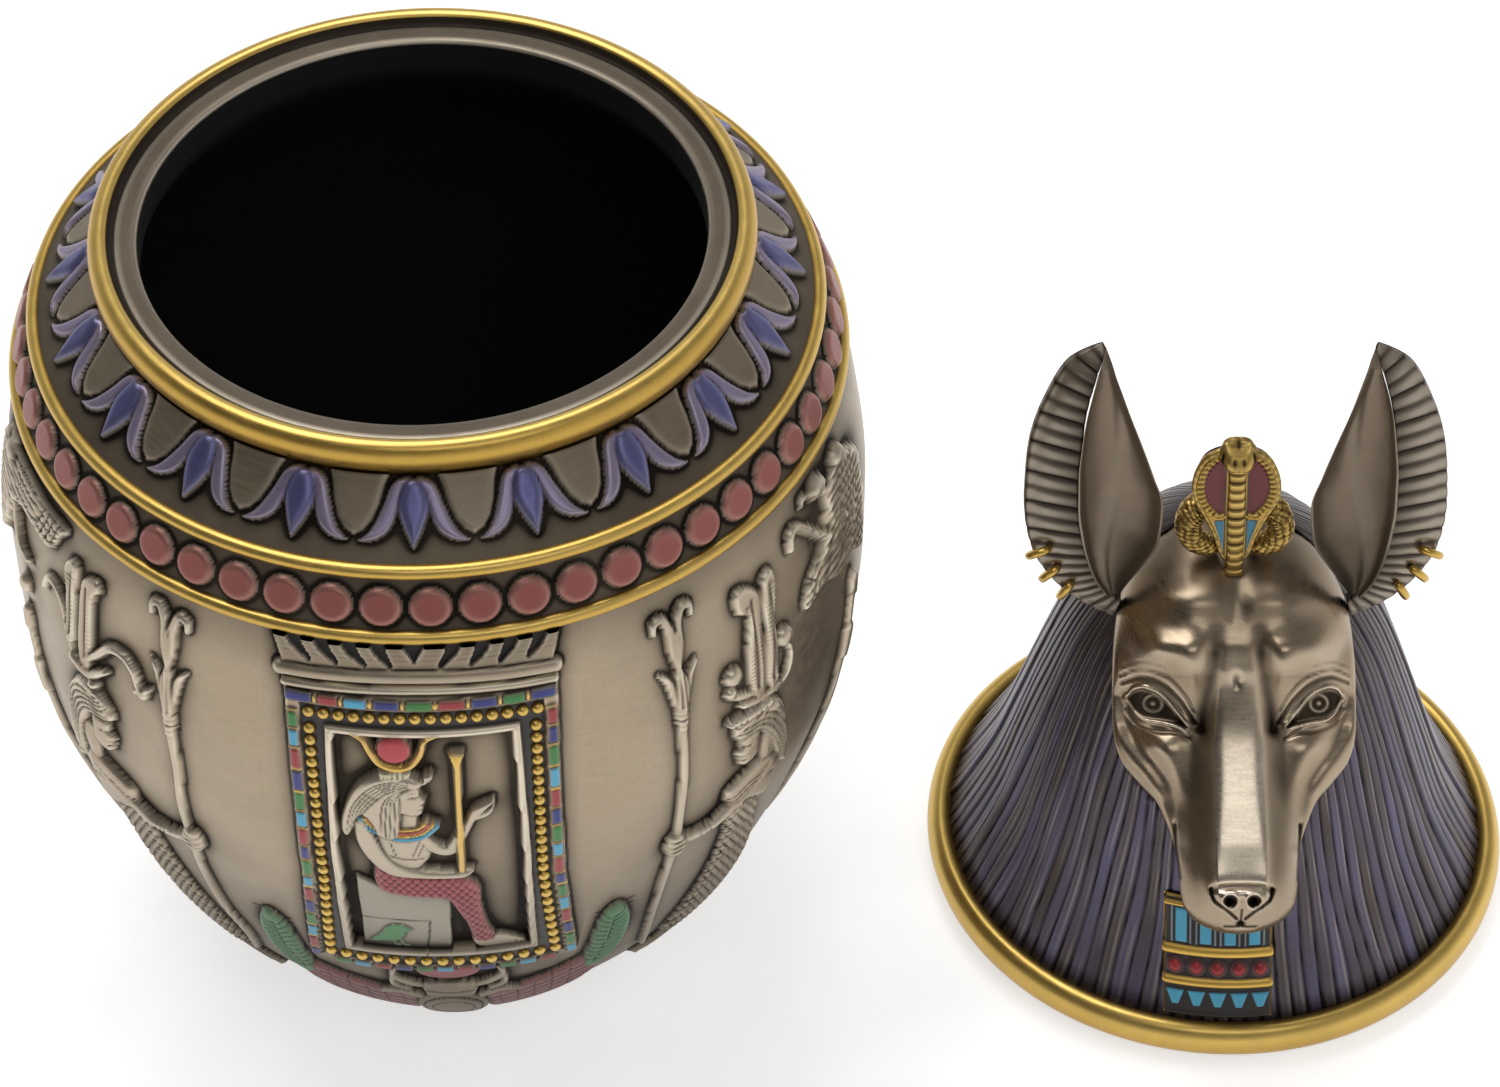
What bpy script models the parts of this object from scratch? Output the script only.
"""Canopic jar with a jackal-headed lid: a cold-cast bronze copy in two castings.

The jar is a hollow turned body whose rings, lotus frieze, studs, shrine panels and relief figures are one
casting with it. The lid is a pleated headdress with a jackal's head, tall ears, a rearing cobra and a gold
foot ring. It stands beside the jar, so the mouth is open. All lengths below are millimetres; the meshes are
made in metres, +Z up, with the origin at the centre of the jar's underside and the shrine panel at -Y.
"""
import bpy
import bmesh
from math import sin, cos, pi, radians, hypot, sqrt
from mathutils import Vector

MM = 0.001

# Driving sizes of the jar
RIM_HEIGHT = 153.5        # crest of the gold rim
RIM_RADIUS = 50.0         # centre line of the gold rim
BEAD_HALF = 1.5           # half the width of the rim's bead
MOUTH_RADIUS = 44.0       # the open mouth
LEDGE_DROP = 2.0          # the lid's seat lies this far below the crest
BELLY_RADIUS = 69.3
FOOT_RADIUS = 31.0
WALL = 5.2
FLOOR = 6.5               # thickness of the bottom
TURN_STEPS = 54           # one facet under each stud

# Repeats round the shoulder
LOTUS_COUNT = 20
LOTUS_TURN = 0.9          # degrees from -Y to the first flower
STUD_COUNT = 54
STUD_TURN = 2.9
PANEL_TURN = 0.9

# Driving sizes of the lid
LID_PLACE = (132.2, 5.2)
LID_YAW = 0.0             # degrees, the turn of the face from -Y
LID_LEAN = 0.030          # the head leans by this slope toward -X
SEAT_CLEARANCE = 1.2      # round the lid's foot, inside the rim's bead
FOOT_RING_RADIUS = RIM_RADIUS - BEAD_HALF - SEAT_CLEARANCE
GOLD_RING_RADIUS = FOOT_RING_RADIUS + 0.8
GOLD_RING_TUBE = 2.4
GOLD_RING_LIFT = 4.4
PLEATS = 42
STRIP_SHIFT = -2.5        # the inlaid strip hangs a little to one side
EAR_TIP = 120.5

# The outer wall from the crest down, as (radius, height)
SHOULDER = [
    (RIM_RADIUS - BEAD_HALF, RIM_HEIGHT - LEDGE_DROP),
    (RIM_RADIUS - BEAD_HALF + 0.2, RIM_HEIGHT - 0.9),
    (RIM_RADIUS, RIM_HEIGHT),
    (RIM_RADIUS + 1.5, RIM_HEIGHT - 1.2),
    (RIM_RADIUS + 1.3, RIM_HEIGHT - 4.4),
    (RIM_RADIUS + 0.4, 147.4),
    (60.6, 138.9),
    (62.2, 138.6),
    (62.0, 136.3),
    (64.7, 129.2),
    (66.2, 128.6),
    (65.5, 126.3),
]
BELLY = [(67.8, 114.0), (BELLY_RADIUS, 100.0), (BELLY_RADIUS - 0.1, 86.0), (66.4, 68.0), (60.6, 49.0),
         (52.0, 29.0), (40.5, 12.0), (34.6, 5.0), (FOOT_RADIUS, 0.0)]
CAVITY = [(FOOT_RADIUS - WALL - 2.0, FLOOR), (41.6, 21.0), (58.4, 56.0), (BELLY_RADIUS - WALL, 92.0),
          (60.2, 124.0), (MOUTH_RADIUS + 2.4, 141.4), (MOUTH_RADIUS, 145.0),
          (MOUTH_RADIUS, RIM_HEIGHT - LEDGE_DROP)]

# Bare wall that the relief is laid on, as (height, radius) rising
WALL_LINE = [(z, r) for r, z in reversed(BELLY)] + [
    (126.3, 65.4), (129.2, 64.7), (136.3, 62.0), (138.9, 60.6), (147.4, 50.4)]


def lerp_line(line, t):
    """Value at t on a rising line of (t, value) points, with the slope there."""
    for (t0, v0), (t1, v1) in zip(line, line[1:]):
        if t <= t1 or (t1, v1) == line[-1]:
            slope = (v1 - v0) / (t1 - t0)
            return v0 + slope * (t - t0), slope


def on_wall(turn, z, height):
    """Point at an angle (radians from -Y toward +X) and height z, raised off the wall by height."""
    r, slope = lerp_line(WALL_LINE, z)
    tilt = 1.0 / sqrt(1.0 + slope * slope)
    rr = r + height * tilt
    return Vector((rr * sin(turn), -rr * cos(turn), z - height * slope * tilt))


def at(centre, across, z):
    """Angle of a point that lies a width away from a centre line (degrees) on the belly."""
    return radians(centre) + across / BELLY_RADIUS


# Mesh helpers

def new_object(name, bm, collection, smooth=True):
    mesh = bpy.data.meshes.new(name)
    bmesh.ops.triangulate(bm, faces=bm.faces)
    bmesh.ops.recalc_face_normals(bm, faces=bm.faces)
    bm.to_mesh(mesh)
    bm.free()
    obj = bpy.data.objects.new(name, mesh)
    collection.objects.link(obj)
    if smooth:
        mesh.shade_smooth()
        mesh.set_sharp_from_angle(angle=radians(35))
    return obj


def add_ring(bm, points):
    return [bm.verts.new(Vector(p) * MM) for p in points]


def bridge(bm, a, b):
    n = len(a)
    for i in range(n):
        j = (i + 1) % n
        bm.faces.new((a[i], a[j], b[j], b[i]))


def cap_fan(bm, ring, point, flip=False):
    tip = bm.verts.new(Vector(point) * MM)
    n = len(ring)
    for i in range(n):
        j = (i + 1) % n
        bm.faces.new((ring[i], ring[j], tip) if not flip else (ring[j], ring[i], tip))


def loft(bm, rings, start=None, end=None):
    """Closed body through rings of equal count; the ends are flat, or run to a point."""
    made = [add_ring(bm, ring) for ring in rings]
    for a, b in zip(made, made[1:]):
        bridge(bm, a, b)
    for ring, point, flip in ((made[0], start, True), (made[-1], end, False)):
        if point is None:
            bm.faces.new(ring)
        else:
            cap_fan(bm, ring, point, flip)


def boss(bm, place, outline, height, crown=0.0, depth=1.2, inset=0.82):
    """A raised patch: place(across, up, height) maps it to the wall; a crown fans the top from its middle."""
    cx = sum(p[0] for p in outline) / len(outline)
    cy = sum(p[1] for p in outline) / len(outline)
    low = [place(x, y, -depth) for x, y in outline]
    top = [place(cx + (x - cx) * inset, cy + (y - cy) * inset, height) for x, y in outline]
    made = [add_ring(bm, low), add_ring(bm, top)]
    bridge(bm, made[0], made[1])
    bm.faces.new(list(reversed(made[0])))
    if crown:
        cap_fan(bm, made[1], place(cx, cy, height + crown))
    else:
        bm.faces.new(made[1])


def strap(bm, place, path, widths, height, depth=1.2):
    """A raised bar with a ridged back along a path of (across, up) points."""
    rings = []
    for i, (x, y) in enumerate(path):
        x0, y0 = path[max(i - 1, 0)]
        x1, y1 = path[min(i + 1, len(path) - 1)]
        length = hypot(x1 - x0, y1 - y0)
        nx, ny = -(y1 - y0) / length, (x1 - x0) / length
        half = (widths[i] if isinstance(widths, (list, tuple)) else widths) / 2
        rings.append([place(x + nx * half, y + ny * half, -depth),
                      place(x + nx * half * 0.6, y + ny * half * 0.6, height),
                      place(x - nx * half * 0.6, y - ny * half * 0.6, height),
                      place(x - nx * half, y - ny * half, -depth)])
    loft(bm, rings)


def oval(cx, cy, rx, ry, count, turn=0.0):
    return [(cx + rx * cos(2 * pi * i / count + turn), cy + ry * sin(2 * pi * i / count + turn))
            for i in range(count)]


def wall_place(centre, mirror=1):
    """Map (across, up) around a centre angle in degrees, mirrored when mirror is -1."""
    return lambda x, y, h: on_wall(at(centre, x * mirror, y), y, h)


# Relief of the shoulder

def lotus(bm, turn):
    """Three petals of a hanging flower under the rim."""
    def place(x, y, h):
        return on_wall(turn + x / lerp_line(WALL_LINE, y)[0], y, h)
    half = pi * 58.8 / LOTUS_COUNT
    outline = [(2.0, 146.4), (3.8, 143.0), (half - 0.5, 140.4), (2.4, 142.0), (0.0, 139.7), (-2.4, 142.0),
               (-half + 0.5, 140.4), (-3.8, 143.0), (-2.0, 146.4)]
    boss(bm, place, outline, 0.9, 0.8, inset=0.93)


def stud(bm, turn):
    def place(x, y, h):
        return on_wall(turn + x / 63.4, y, h)
    boss(bm, place, oval(0, 132.75, 3.25, 2.9, 6), 1.2, inset=0.7)


# The shrine panel

def shrine_frame(layers, centre):
    """Cornice, two mouldings and a four-sided frame round a sunk field."""
    low, mid, high = layers
    place = wall_place(centre)

    def bar(bm, x0, x1, y0, y1, height, lip=0.0):
        cols = 4 if x1 - x0 > 10 else 1
        rows = 5 if y1 - y0 > 10 else 1
        rings = []
        for j in range(max(rows, cols) + 1):
            t = j / max(rows, cols)
            if rows > 1:
                ends = [(x0, y0 + (y1 - y0) * t), (x1, y0 + (y1 - y0) * t)]
            else:
                ends = [(x0 + (x1 - x0) * t, y1), (x0 + (x1 - x0) * t, y0)]
            (ax, ay), (bx, by) = ends
            rings.append([place(ax, ay, -1.2), place(ax, ay, height + lip), place(bx, by, height),
                          place(bx, by, -1.2)])
        loft(bm, rings)

    bar(low, -20.4, -15.0, 47.0, 116.6, 1.2)
    bar(low, 15.0, 20.4, 47.0, 116.6, 1.2)
    bar(low, -20.8, 20.8, 117.2, 118.8, 1.7)
    bar(low, -20.8, 20.8, 119.3, 120.9, 1.9)
    bar(low, -22.6, 22.6, 121.4, 125.8, 0.7, 1.6)
    bar(mid, -16.0, 16.0, 110.9, 116.0, 1.05)
    bar(mid, -16.0, 16.0, 47.6, 51.2, 1.05)


def seated_figure(layers, centre):
    """A seated goddess in profile on her block throne, laid down in three layers."""
    low, mid, high = layers
    place = wall_place(centre)
    boss(low, place, [(-11.6, 52.0), (1.4, 52.0), (1.4, 69.4), (-10.6, 74.4)], 0.7, inset=0.96)
    boss(low, place, [(6.2, 52.0), (15.4, 52.0), (13.0, 54.2), (7.0, 54.4)], 0.8)
    boss(low, place, [(-8.6, 92.4), (-6.0, 80.4), (0.4, 80.4), (1.8, 90.4), (-3.2, 93.2)], 1.2, 0.3)
    boss(low, place, oval(-3.4, 107.3, 2.7, 2.8, 7), 0.9, 0.5)
    strap(mid, place, [(-6.6, 77.0), (-2.0, 75.6), (5.6, 73.6), (6.6, 64.0), (8.0, 54.8)],
          [4.6, 5.4, 5.4, 3.8, 3.4], 1.5)
    boss(mid, place, [(-11.4, 91.6), (-8.4, 91.0), (-4.4, 88.2), (-1.6, 89.0), (-0.8, 94.4), (0.8, 97.0),
                      (-1.4, 101.2), (-6.0, 101.2), (-9.8, 97.4)], 1.7, 0.4, inset=0.88)
    strap(mid, place, [(5.8, 80.4), (5.8, 93.0), (5.9, 106.0)], 1.3, 1.2)
    strap(high, place, [(0.2, 87.8), (2.8, 83.6), (6.6, 87.2), (10.8, 94.2)], [2.4, 2.2, 1.9, 0.9], 1.9)
    strap(high, place, [(-9.2, 90.2), (-6.0, 81.4), (-3.0, 78.6), (7.4, 79.0)], [2.4, 2.4, 2.2, 1.5], 2.1)
    strap(high, place, [(-8.4, 109.4), (-6.8, 104.8), (-3.4, 103.1), (0.0, 104.8), (1.6, 109.4)], 1.1, 1.4)


# Attendants, their staffs and the winged falcons

def attendant(layers, centre, mirror):
    """Standing attendant with a plumed crown; the robe runs down the belly to the foot."""
    low, mid, high = layers
    place = wall_place(centre, mirror)
    strap(low, place, [(5.4, 75.4), (6.4, 60.0), (6.8, 46.0), (2.6, 30.0), (-3.6, 17.6)],
          [6.6, 8.0, 7.6, 6.0, 2.6], 1.5)
    boss(low, place, [(1.2, 94.4), (6.2, 94.4), (7.6, 117.0), (4.0, 118.2), (0.6, 116.4)], 1.2, 0.4)
    boss(mid, place, [(-0.6, 92.8), (-1.4, 82.6), (2.4, 79.0), (5.0, 74.6), (8.6, 74.2), (8.6, 88.6),
                      (6.0, 93.6)], 1.7, 0.5, inset=0.88)
    strap(high, place, [(4.4, 73.4), (-2.6, 68.8), (-10.4, 69.6)], [3.2, 2.8, 1.8], 2.1)
    strap(mid, place, [(7.4, 96.6), (10.0, 98.0), (11.2, 102.6)], [1.3, 1.3, 1.9], 1.4)
    strap(mid, place, [(0.2, 96.6), (-4.6, 96.6), (-6.4, 101.8)], [1.3, 1.3, 1.9], 1.4)


def staff(layers, centre, mirror):
    """Papyrus staff: shaft, bud and two curled tips."""
    low, mid, high = layers
    place = wall_place(centre, mirror)
    strap(low, place, [(-1.2, 30.0), (-0.8, 50.0), (-0.2, 72.0), (-0.2, 101.0)], [1.3, 1.6, 1.8, 2.0], 1.1)
    strap(low, place, [(0.0, 106.4), (0.0, 112.4), (0.0, 118.6)], [1.6, 2.4, 6.2], 1.1)
    strap(mid, place, [(0.0, 100.0), (0.0, 107.6)], [2.4, 4.8], 1.6)


def falcon(layers, centre, mirror):
    """Hovering falcon: one wing reaches toward the attendant, the tail hangs down."""
    low, mid, high = layers
    place = wall_place(centre, mirror)
    strap(low, place, [(-10.4, 119.4), (-2.0, 118.8), (6.0, 116.0), (13.6, 107.0)], [2.6, 4.6, 6.0, 4.4], 1.3)
    strap(mid, place, [(3.0, 117.0), (4.0, 109.0), (-2.6, 102.6)], [5.4, 4.8, 3.0], 1.7)


def scarab(layers, centre):
    """Winged scarab below the panel, holding the sun's disc."""
    low, mid, high = layers
    place = wall_place(centre)
    boss(low, place, oval(0, 28.6, 7.0, 6.0, 9), 2.0, 0.8)
    boss(low, place, oval(0, 40.6, 5.2, 3.6, 8), 1.2, 0.7)
    for side in (-1, 1):
        wing = wall_place(centre, side)
        strap(mid, wing, [(4.6, 30.6), (14.0, 30.4), (23.0, 33.6), (29.6, 41.0), (31.6, 53.4)],
              [6.0, 6.6, 8.0, 8.0, 3.4], 1.1)


# The lid, in its own upright frame: x across, y back from the face, z up

FACE_TILT = radians(45.65)
FACE_TOP = 76.0


def face_point(x, down, out):
    """Point of the head: down the face from its crown, and out of it."""
    return (x, -sin(FACE_TILT) * down - cos(FACE_TILT) * out,
            FACE_TOP - cos(FACE_TILT) * down + sin(FACE_TILT) * out)


def lean(p):
    x, y, z = p
    return (x - LID_LEAN * max(z - 8.0, 0.0), y, z)


# The headdress's outline as (height, share of the gold ring's radius)
BELL_SHARES = [(6.0, 1.002), (10.0, 0.955), (16.0, 0.891), (26.0, 0.806), (38.0, 0.727), (50.0, 0.643),
               (63.0, 0.533), (75.0, 0.3617), (82.6, 0.1455)]
BELL = [(z, share * GOLD_RING_RADIUS) for z, share in BELL_SHARES]


def pleated_headdress(bm):
    rings = []
    count = PLEATS * 2
    for z, r in BELL:
        depth = min(0.9, 0.045 * r)
        ring = []
        for i in range(count):
            a = 2 * pi * i / count
            rr = r - (depth if i % 2 else 0.0)
            ring.append(lean((rr * sin(a), -rr * cos(a), z)))
        rings.append(ring)
    foot = []
    base = [(FOOT_RING_RADIUS - 1.6, 2.4)]
    for r, z in base:
        foot.append([(r * sin(2 * pi * i / count), -r * cos(2 * pi * i / count), z) for i in range(count)])
    loft(bm, foot + rings, end=lean((0, 0, 84.2)))


def head_block(bm):
    """Jackal's head as sections down the face: half width, front, back, and the width of the bridge."""
    sections = [(-3.0, 11.5, 6.0, -5.0, 7.0), (4.7, 17.0, 11.6, -10.0, 9.0), (10.4, 19.2, 14.4, -12.0, 10.0),
                (19.0, 20.0, 13.2, -13.0, 9.0), (24.0, 20.0, 10.2, -13.0, 5.0), (30.0, 19.8, 9.4, -13.0, 4.4),
                (37.0, 19.2, 10.2, -13.0, 4.4), (43.0, 15.4, 10.9, -11.0, 4.4), (48.0, 11.4, 11.5, -9.0, 4.5),
                (54.0, 9.8, 12.0, -7.0, 4.4), (59.0, 9.6, 11.0, -5.0, 4.6), (62.5, 9.0, 9.0, -3.6, 4.4),
                (65.0, 7.0, 6.2, -2.4, 3.0), (66.4, 4.4, 3.6, -1.0, 1.6)]
    rings = []
    for v, a, front, back, ridge in sections:
        side = front * 0.45
        half = [(ridge * 0.5, front), (ridge, front - 1.0), (a * 0.72, side + 1.2), (a * 0.95, side - 2.6),
                (a, side - 6.0 if side - 6.0 > back + 2 else back + 2.0), (a * 0.8, back)]
        ring = [face_point(x, v, w) for x, w in half] + [face_point(-x, v, w) for x, w in reversed(half)]
        rings.append([lean(p) for p in ring])
    loft(bm, rings)


def ear_plane(x, z, back=0.0):
    return (x, -12.0 + (z - 72.0) * 10.0 / 48.0 + back, z)


EAR = [  # height, inner edge, lip between shell and fan, fan's outer edge
    (68.6, 16.5, 18.6, 20.4),
    (72.0, 15.6, 19.2, 25.4),
    (76.0, 14.6, 19.8, 29.9),
    (82.0, 13.2, 23.2, 33.0),
    (90.0, 12.6, 25.2, 34.4),
    (98.0, 14.2, 25.4, 34.0),
    (107.5, 17.0, 24.8, 31.9),
    (114.0, 19.0, 23.4, 29.0),
    (118.2, 20.6, 22.4, 25.2),
]


def ear(bm, side):
    rings = []
    for z, inner, lip, fan in EAR:
        mid = (inner + lip) / 2
        hollow = min(2.6, (lip - inner) * 0.22)
        front = [(inner, 0.4), (mid, hollow), (lip, -0.9), (lip + (fan - lip) * 0.5, 1.6), (fan, 3.0)]
        rear = [(fan, 4.4), (lip, 4.0), (mid, 5.6), (inner, 3.0)]
        rings.append([lean(ear_plane(side * x, z, y)) for x, y in front + rear])
    loft(bm, rings, end=lean(ear_plane(side * 21.8, EAR_TIP, 1.8)))


def hoop(bm, side, x, z, turn):
    """A small gold ring through the ear's lower edge."""
    ring_r, tube = 2.3, 0.62
    rings = []
    steps, around = 8, 3
    cx, cy, cz = ear_plane(side * x, z, 3.4)
    for i in range(steps):
        a = 2 * pi * i / steps
        ring = []
        for j in range(around):
            b = 2 * pi * j / around
            rr = ring_r + tube * cos(b)
            u, v, w = rr * cos(a), rr * sin(a), tube * sin(b)
            ring.append(lean((cx + side * (u * cos(turn) - w * sin(turn)), cy + v,
                              cz - (u * sin(turn) + w * cos(turn)))))
        rings.append(ring)
    made = [add_ring(bm, ring) for ring in rings]
    for i in range(steps):
        bridge(bm, made[i], made[(i + 1) % steps])


def cobra_place(x, z, out):
    return lean((x, -10.6 + (z - 80.0) * 0.16 - out, z))


def cobra_hood(bm):
    """The flat hood of the rearing cobra on the brow."""
    hood = [(0.0, 83.0), (3.0, 86.0), (5.4, 90.0), (6.7, 94.6), (6.4, 98.8), (4.4, 102.2), (2.0, 103.8),
            (-2.0, 103.8), (-4.4, 102.2), (-6.4, 98.8), (-6.7, 94.6), (-5.4, 90.0), (-3.0, 86.0)]
    boss(bm, cobra_place, hood, 0.9, 0.4, depth=1.3, inset=0.9)


def cobra_throat(bm):
    rings = []
    for z, half, out in ((78.0, 1.3, 1.4), (84.0, 1.6, 3.0), (92.0, 1.6, 3.4), (100.0, 1.5, 3.2), (104.0, 1.9, 4.2),
                         (106.2, 1.6, 4.4)):
        rings.append([cobra_place(half, z, -1.6), cobra_place(half, z, out * 0.7), cobra_place(0, z, out),
                      cobra_place(-half, z, out * 0.7), cobra_place(-half, z, -1.6)])
    loft(bm, rings)


def cobra_coils(bm, side):
    rings = []
    path = [(2.2, -11.4, 82.0, 1.8), (5.2, -13.0, 84.0, 2.5), (8.2, -9.4, 84.6, 2.4), (8.0, -4.8, 83.4, 2.1)]
    for x, y, z, r in path:
        ring = []
        for j in range(6):
            b = 2 * pi * j / 6
            ring.append(lean((side * (x + 0.5 * r * cos(b)), y + 0.4 * r * cos(b), z + r * sin(b))))
        rings.append(ring)
    loft(bm, rings)


def pectoral(bm):
    """Inlaid strip down the front of the headdress."""
    def place(x, z, h):
        r, slope = lerp_line(BELL, z)
        rr = r + h
        a = (x + STRIP_SHIFT) / r
        return lean((rr * sin(a), -rr * cos(a), z))
    columns = [-9.4, -4.7, 0.0, 4.7, 9.4]
    loop = [(x, 8.0) for x in columns] + [(9.0, 16.0), (8.8, 24.0)] + [(x * 0.94, 32.0) for x in reversed(columns)]
    loop += [(-8.8, 24.0), (-9.0, 16.0)]
    boss(bm, place, loop, 0.6, 0.2, depth=2.0, inset=0.98)


def place_lid(obj):
    obj.location = (LID_PLACE[0] * MM, LID_PLACE[1] * MM, 0.0)
    obj.rotation_euler = (0.0, 0.0, radians(LID_YAW))


def turned(name, profile, steps, collection, turn=0.0, closed=False):
    """A turned body from a profile (radius, height) that runs up inside and down outside."""
    bm = bmesh.new()
    ca, sa = cos(radians(turn)), sin(radians(turn))
    verts = [bm.verts.new((r * MM * ca, r * MM * sa, z * MM)) for r, z in profile]
    for a, b in zip(verts, verts[1:] + verts[:1] if closed else verts[1:]):
        bm.edges.new((a, b))
    mesh = bpy.data.meshes.new(name)
    bm.to_mesh(mesh)
    bm.free()
    obj = bpy.data.objects.new(name, mesh)
    collection.objects.link(obj)
    screw = obj.modifiers.new("turn", 'SCREW')
    screw.axis = 'Z'
    screw.angle = 2 * pi
    screw.steps = steps
    screw.render_steps = steps
    screw.use_merge_vertices = True
    screw.merge_threshold = 0.0001
    screw.use_smooth_shade = True
    return obj


def join_to(target, tool, operation='UNION'):
    tool.hide_render = True
    tool.display_type = 'WIRE'
    mod = target.modifiers.new(tool.name, 'BOOLEAN')
    mod.operation = operation
    mod.object = tool
    mod.solver = 'EXACT'


def metal(name, colour, metallic, roughness):
    mat = bpy.data.materials.new(name)
    mat.use_nodes = True
    shader = mat.node_tree.nodes["Principled BSDF"]
    shader.inputs["Base Color"].default_value = (*colour, 1.0)
    shader.inputs["Metallic"].default_value = metallic
    shader.inputs["Roughness"].default_value = roughness
    return mat


def main():
    for obj in list(bpy.data.objects):
        bpy.data.objects.remove(obj, do_unlink=True)
    scene = bpy.context.scene
    parts = bpy.data.collections.new("canopic_jar")
    tools = bpy.data.collections.new("relief_tools")
    scene.collection.children.link(parts)
    scene.collection.children.link(tools)

    # The jar's turned body
    profile = [(0.0, FLOOR)] + CAVITY + SHOULDER + BELLY + [(0.0, 0.0)]
    jar = turned("jar", profile, TURN_STEPS, parts, STUD_TURN)
    jar.data.materials.append(metal("antique_bronze", (0.36, 0.31, 0.25), 0.8, 0.42))

    # Relief in layers; the shapes of one layer keep clear of each other
    layers = [bmesh.new() for _ in range(3)]
    for i in range(LOTUS_COUNT):
        lotus(layers[0], radians(LOTUS_TURN) + 2 * pi * i / LOTUS_COUNT)
    for i in range(STUD_COUNT):
        stud(layers[0], radians(STUD_TURN) + 2 * pi * i / STUD_COUNT)
    for centre in (PANEL_TURN, PANEL_TURN + 180.0):
        shrine_frame(layers, centre)
        for side in (-1, 1):
            staff(layers, centre + side * 34.0, side)
    for side in (-1, 1):
        attendant(layers, PANEL_TURN + side * 45.0, side)
    seated_figure(layers, PANEL_TURN)
    scarab(layers, PANEL_TURN)
    for side in (-1, 1):
        falcon(layers, side * 70.0, side)
    for name, bm in zip(("relief_low", "relief_mid", "relief_high"), layers):
        join_to(jar, new_object(name, bm, tools))

    # The lid
    bm = bmesh.new()
    pleated_headdress(bm)
    lid = new_object("lid", bm, parts)
    lid.data.materials.append(metal("lid_bronze", (0.34, 0.29, 0.24), 0.85, 0.36))
    place_lid(lid)

    inner = FOOT_RING_RADIUS - 5.0
    foot_profile = [(inner, 0.0), (inner, 8.0), (GOLD_RING_RADIUS - 3.2, 8.0)]
    for degrees_round in (70, 35, 0, -40, -80, -120):
        a = radians(degrees_round)
        foot_profile.append((GOLD_RING_RADIUS + GOLD_RING_TUBE * cos(a), GOLD_RING_LIFT + GOLD_RING_TUBE * sin(a)))
    foot_profile += [(FOOT_RING_RADIUS, 1.6), (FOOT_RING_RADIUS, 0.0)]
    ring = turned("foot_ring", foot_profile, PLEATS, tools, closed=True)
    place_lid(ring)
    join_to(lid, ring)

    pieces = {"lid_head": [head_block], "lid_front": [pectoral, cobra_hood], "lid_throat": [cobra_throat],
              "lid_coils": [lambda b: cobra_coils(b, -1), lambda b: cobra_coils(b, 1)],
              "lid_ears": [lambda b: ear(b, -1), lambda b: ear(b, 1)]}
    for name, makers in pieces.items():
        bm = bmesh.new()
        for make in makers:
            make(bm)
        tool = new_object(name, bm, tools)
        place_lid(tool)
        join_to(lid, tool)

    bm = bmesh.new()
    for side in (-1, 1):
        for x, z, turn in ((33.0, 82.0, 0.35), (30.6, 78.0, 0.75), (28.0, 74.6, 1.05)):
            hoop(bm, side, x, z, turn)
    hoops = new_object("lid_hoops", bm, tools)
    place_lid(hoops)
    join_to(lid, hoops)

    hollow_profile = [(0.0, -2.0), (inner, -2.0), (inner, 6.0)]
    for z, share in ((16.0, 0.811), (36.0, 0.655), (58.0, 0.4366), (66.0, 0.0)):
        hollow_profile.append((share * GOLD_RING_RADIUS, z))
    hollow = turned("lid_hollow", hollow_profile[::-1], 24, tools)
    place_lid(hollow)
    join_to(lid, hollow, 'DIFFERENCE')
    bpy.context.view_layer.update()


main()
